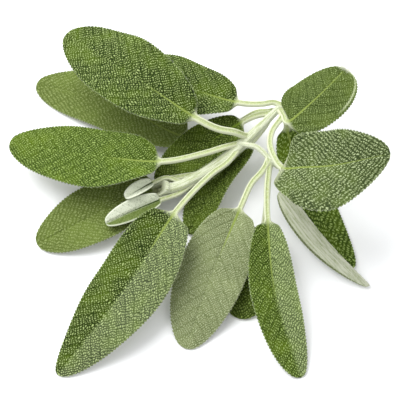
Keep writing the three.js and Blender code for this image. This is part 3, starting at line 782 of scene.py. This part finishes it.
# The routes of each leaf's stalk and midrib, its width, how it swells from the base and narrows to the tip,
# and, at its base, middle and tip, its roll and each half's fold, curl and share of the width.
LEAVES = [
    {
        "name": "leaf_upper_left", "slot": "leaf_green", "look": GREEN,
        "petiole": [(17.5, 24, 16), (12.5, 23.5, 20.5), (6.5, 24, 22)],
        "midrib": [(-1, 27, 24), (-23.5, 43, 27), (-50, 66.5, 21.5)],
        "width": 26, "taper": (0.58, 0.6), "roll": (12, 12, 5), "stalk": 1.3,
        "left": {"fold": (20, 12, 5), "curl": (0, -14, -15)},
        "right": {"fold": (24, 12, 5), "curl": (0, -10, -10)},
        "wave": 0.8, "waves": 2.5,
    },
    {
        "name": "leaf_behind_upper", "slot": "leaf_green", "look": GREEN,
        "petiole": [(30.5, 35.5, 19), (27, 37, 19.5), (22.5, 36, 20)],
        "midrib": [(14.5, 36.5, 20), (-6.5, 45, 19), (-27, 60.5, 14)],
        "width": 23, "taper": (0.5, 0.55), "roll": (0, 5, 0),
        "left": {"fold": (15, 5, 0), "curl": (0, -5, 0)},
        "right": {"fold": (15, 5, 0), "curl": (0, -10, -10), "share": (0.9, 0.91, 1)},
        "wave": 0.6, "waves": 2,
    },
    {
        "name": "leaf_mid_left", "slot": "leaf_green", "look": LIT_GREEN, "height": 0.4,
        "petiole": [(15.5, 22, 15.5), (9, 19, 17.5), (2, 16.5, 17.5)],
        "midrib": [(-13.5, 13.5, 16.5), (-41.5, 17.5, 15), (-70, 25, 11)],
        "width": 24, "taper": (0.5, 0.55), "roll": (0, 0, 0),
        "left": {"fold": (15, 0, 0), "curl": (5, -8, 0), "share": (1, 1.05, 1)},
        "right": {"fold": (12, 0, 2), "curl": (0, -8, 0), "share": (1, 0.95, 0.95)},
        "wave": 0.5, "waves": 2,
    },
    {
        "name": "leaf_far_left", "fineness": 1.4, "slot": "leaf_green", "look": SOFT_GREEN,
        "cell": 0.75, "stretch": 1.7, "height": 0.25,
        "petiole": [(27, 35, 16.3), (21, 36.8, 13), (13, 34.5, 8.5)],
        "midrib": [(-3.5, 31, 5), (-32, 48, 2), (-62.5, 58, 0.6)],
        "width": 25, "taper": (0.5, 0.55), "roll": (0, 0, 0),
        "left": {"fold": (10, 4, 0), "curl": (0, 0, 0)}, "right": {"fold": (10, 4, 0), "curl": (0, 0, 0)},
        "wave": 0.4, "waves": 2,
    },
    {
        "name": "leaf_low_left", "fineness": 1.2, "slot": "leaf_green", "look": SOFT_GREEN,
        "stretch": 1.6, "height": 0.4,
        "petiole": [(6.5, 14.5, 13), (2, 12, 11.5), (-6, 11, 10)],
        "midrib": [(-16.5, 10, 7.5), (-37, -0.5, 3.5), (-59, -12, 0.4)],
        "width": 23, "taper": (0.5, 0.55), "roll": (0, 0, 0),
        "left": {"fold": (4, 9, 6), "curl": (0, -5, 0)}, "right": {"fold": (10, 4, 0), "curl": (0, 0, 0)},
        "wave": 0.4, "waves": 2,
    },
    {
        "name": "leaf_bottom_left", "slot": "leaf_green", "look": GREEN,
        # Its left half is painted paler: painted sheen where that half catches the light.
        "felt_and_sheen": (0.35, 0.0), "rib_reach": 0.4,
        "petiole": [(14.5, 20.5, 15), (10, 13, 17), (3.5, 7, 17.5)],
        "midrib": [(-8.5, -7.5, 17), (-26, -34, 10), (-49.5, -63.5, 0.3)],
        "width": 25, "taper": (0.42, 0.6), "roll": (0, 0, 0),
        "left": {"fold": (18, 8, 4), "curl": (5, -8, -5), "share": (1.15, 1.1, 1)},
        "right": {"fold": (18, 8, 4), "curl": (5, -8, -5), "share": (0.95, 0.9, 0.75)},
        "wave": 0.5, "waves": 2,
    },
    {
        "name": "leaf_bottom_mid", "fineness": 1.05, "slot": "leaf_pale_felt", "look": PALE_FELT,
        "cell": 0.62, "height": 0.25,
        "petiole": [(25, 12.5, 19.5), (22, 8, 18), (18.5, 4, 17)],
        "midrib": [(14.5, -4.5, 14.5), (4, -29, 8), (-5, -53.5, 0.4)],
        "width": 24, "taper": (0.5, 0.56), "roll": (0, 0, 0),
        "left": {"fold": (10, 3, 0), "curl": (0, -8, -5), "share": (1, 0.95, 0.85)},
        "right": {"fold": (10, 3, 0), "curl": (0, -12, -5), "share": (1, 1.03, 1)},
        "wave": 0.4, "waves": 2,
    },
    {
        "name": "leaf_bottom_right", "slot": "leaf_green", "look": LIT_GREEN,
        # Its left half is painted paler: painted sheen where that half catches the light.
        "felt_and_sheen": (0.42, 0.03), "height": 0.36, "rib_reach": 0.9,
        "petiole": [(25, 12.5, 19.5), (24.5, 7, 17.5), (24, 1.5, 16.5)],
        "midrib": [(24, -9.5, 15), (26.5, -37.5, 9), (35, -64.5, 0.3)],
        "width": 18, "taper": (0.5, 0.55), "roll": (0, 5, 0),
        "left": {"fold": (25, 18, 10), "curl": (5, -5, -5), "share": (0.9, 0.85, 0.8)},
        "right": {"fold": (25, 18, 10), "curl": (5, -5, -5)},
        "wave": 0.4, "waves": 2,
    },
    {
        "name": "leaf_underside", "fineness": 1.4, "slot": "leaf_pale_felt", "look": PALE_FELT,
        "teeth": 0.3,
        "petiole": [(28, 11, 18.5), (29.5, 11, 16)],
        "midrib": [(30.5, 6, 14), (43, -11.8, 8.3), (60.5, -29.2, 1.2)],
        "width": 13, "taper": (0.4, 0.7), "roll": (-95, -95, -95),
        "left": {"fold": (65, 68, 68), "curl": (24, 24, 22)},
        "right": {"fold": (70, 65, 60), "curl": (10, 10, 10)},
        "wave": 0, "waves": 1,
    },
    {
        "name": "leaf_top_right", "slot": "leaf_grey_green", "look": SOFT_GREY,
        # Its right half carries a painted highlight line along the crest of the curled margin.
        "height": 0.35, "cell": 0.7, "tip_felt": 1.0, "rib_reach": 2.5, "crest_felt_and_highlight": 0.88,
        "petiole": [(29.5, 33, 20), (30.5, 29.5, 21.5)],
        "midrib": [(31.5, 26.5, 22.5), (41, 33.5, 25.8), (53.5, 49, 23.5)],
        "width": 21, "taper": (0.36, 0.42), "roll": (0, 0, 0),
        "left": {"fold": (5, -14, -8), "curl": (0, -12, 0), "share": (1, 1.07, 0.85)},
        "right": {"fold": (0, -12, -5), "curl": (0, 25, 20), "share": (1.08, 1.08, 1.08)},
        "wave": 0.3, "waves": 1,
    },
    {
        "name": "leaf_right", "slot": "leaf_grey_green", "look": GREY_GREEN,
        "cell": 0.7, "stretch": 1.8, "rib_reach": 1.7,
        "petiole": [(30, 30, 20.5), (25.8, 21, 24.5), (25, 15, 25.5), (26.5, 9.5, 25.5)],
        "midrib": [(29, 5.5, 25.5), (36.5, 3.5, 29), (46.5, 1, 34.5), (65.5, 0, 44)],
        "opening": 0.03, "width": 27, "taper": (0.38, 0.58), "roll": (0, -10, -10),
        "left": {"fold": (15, 8, 5), "curl": (5, -10, -5), "share": (1.02, 0.97, 0.95)},
        "right": {"fold": (15, 8, 5), "curl": (5, -10, -5), "share": (1.25, 1.24, 0.87)},
        "wave": 0.5, "waves": 2,
    },
    {
        "name": "leaf_hidden_right", "fineness": 1.3, "slot": "leaf_green", "look": LIT_GREEN,
        "stretch": 2.2, "height": 0.3,
        "petiole": [(30.5, 35.5, 17.5), (32.5, 35.5, 14)],
        "midrib": [(32, 32.5, 11), (42, 4, 1.5), (55, -22, 0.9)],
        "width": 16, "taper": (0.5, 0.55), "roll": (0, 0, 0),
        "left": {"fold": (5, 0, 0), "curl": (0, 0, 0), "share": (1, 0.9, 0.75)},
        "right": {"fold": (5, 0, 0), "curl": (0, 0, 0)},
        "wave": 0, "waves": 1,
    },
    {
        "name": "leaf_hidden_bottom", "fineness": 1.5, "slot": "leaf_green", "look": DARK,
        "petiole": [(25, 12, 17), (24.5, 6, 12), (24, -1, 9)],
        "midrib": [(23, -7.5, 6.5), (18.5, -24, 4), (14, -42, 0.6)],
        "width": 20, "taper": (0.5, 0.55), "roll": (0, 0, 0),
        "left": {"fold": (5, 0, 0), "curl": (0, 0, 0)}, "right": {"fold": (5, 0, 0), "curl": (0, 0, 0)},
        "wave": 0, "waves": 1,
    },
    {
        "name": "leaf_hidden_mid", "fineness": 1.4, "slot": "leaf_green", "look": DARK,
        "petiole": [(25.5, 32, 17.5), (24, 31, 13)],
        "midrib": [(19, 25, 11), (7, 12.5, 6), (-4, -8, 1)],
        "width": 15, "taper": (0.5, 0.55), "roll": (0, 0, 0),
        "left": {"fold": (30, 38, 20), "curl": (0, 0, 0)}, "right": {"fold": (5, 0, 0), "curl": (0, 0, 0)},
        "wave": 0, "waves": 1,
    },
    {
        "name": "leaf_hidden_upper", "fineness": 1.4, "slot": "leaf_green", "look": DARK,
        "petiole": [(26, 33.5, 17.3), (21.5, 33.5, 16.3)],
        "midrib": [(16, 32.3, 14), (1, 23.5, 10), (-15.5, 9.5, 5)],
        "width": 24, "taper": (0.5, 0.5), "roll": (0, 0, 0),
        "left": {"fold": (5, 0, 0), "curl": (0, 0, 0)},
        "right": {"fold": (5, 0, 0), "curl": (0, 0, 0), "share": (0.7, 0.75, 0.75)},
        "wave": 0, "waves": 1,
    },
    {
        "name": "young_leaf", "slot": "leaf_pale_felt", "look": YOUNG, "height": 0.04,
        "cell": 0.35, "felt_and_sheen": (0.0, 1.5), "rim": 0.7, "teeth": 0.0, "rib_reach": 1.5,
        "petiole": [(0, 10, 11.5), (-4, 6.5, 10.5), (-8, 4, 9.5)],
        "midrib": [(-14, 2, 8.9), (-24, -2.3, 8.3), (-34, -7, 7.3)],
        "width": 8, "taper": (0.36, 0.5), "roll": (0, 0, 0), "stalk": 0.9,
        "left": {"fold": (25, 8, 5), "curl": (10, 10, 10)},
        "right": {"fold": (45, 36, 32), "curl": (10, 6, 6)},
        "wave": 0, "waves": 1,
    },
    {
        "name": "bud_leaf", "slot": "leaf_pale_felt", "look": YOUNG, "height": 0.06,
        "cell": 0.35, "felt_and_sheen": (1.4, 1.5), "rim": 0.7, "teeth": 0.0, "rib_reach": 1.5,
        "petiole": [(-7, 8.3, 10.5), (-12, 9.8, 11.3)],
        "midrib": [(-17, 7.8, 11.2), (-22, 4.4, 11.8), (-27, 1.2, 11.4)],
        "width": 5.5, "taper": (0.5, 0.5), "roll": (0, 0, 0), "stalk": 0.8,
        "left": {"fold": (30, 30, 30), "curl": (10, 10, 10)},
        "right": {"fold": (30, 30, 30), "curl": (10, 10, 10)},
        "wave": 0, "waves": 1,
    },
]

CELL = 0.78
CELL_STRETCH = 1.15
CELL_HEIGHT = 0.48
VEIN_GAP = 3.6
VEIN_DEPTH = 0.12
NET_HEIGHT = 0.15

for number, leaf in enumerate(LEAVES):
    skin = leaf_finish(leaf["name"] + "_skin", **leaf["look"])
    piece = leaf_mesh(leaf)
    pucker.grow(piece, {
        "Cell": leaf.get("cell", CELL), "Stretch": leaf.get("stretch", CELL_STRETCH),
        "Height": leaf.get("height", CELL_HEIGHT) * MM, "Vein gap": VEIN_GAP, "Vein depth": VEIN_DEPTH * MM,
        "Net height": NET_HEIGHT * MM, "Seed": 11.0 * number, "Skin": skin,
    })
    hairs = {"Lean": 0.8, "Seed": number, "Skin": skin, "Down": down_finish}
    down.grow(piece, {
        "Where": "downy", "Hairs per area": 3.2e6, "Hair length": 0.55 * MM, "Hair radius": 0.016 * MM,
        **hairs,
    })
    if "tip_felt" in leaf:
        down.grow(piece, {
            "Where": "tuft", "Hairs per area": 9e7, "Hair length": 2.6 * MM, "Hair radius": 0.035 * MM,
            **hairs,
        })
    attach(piece, "root")
    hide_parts(leaf["name"])
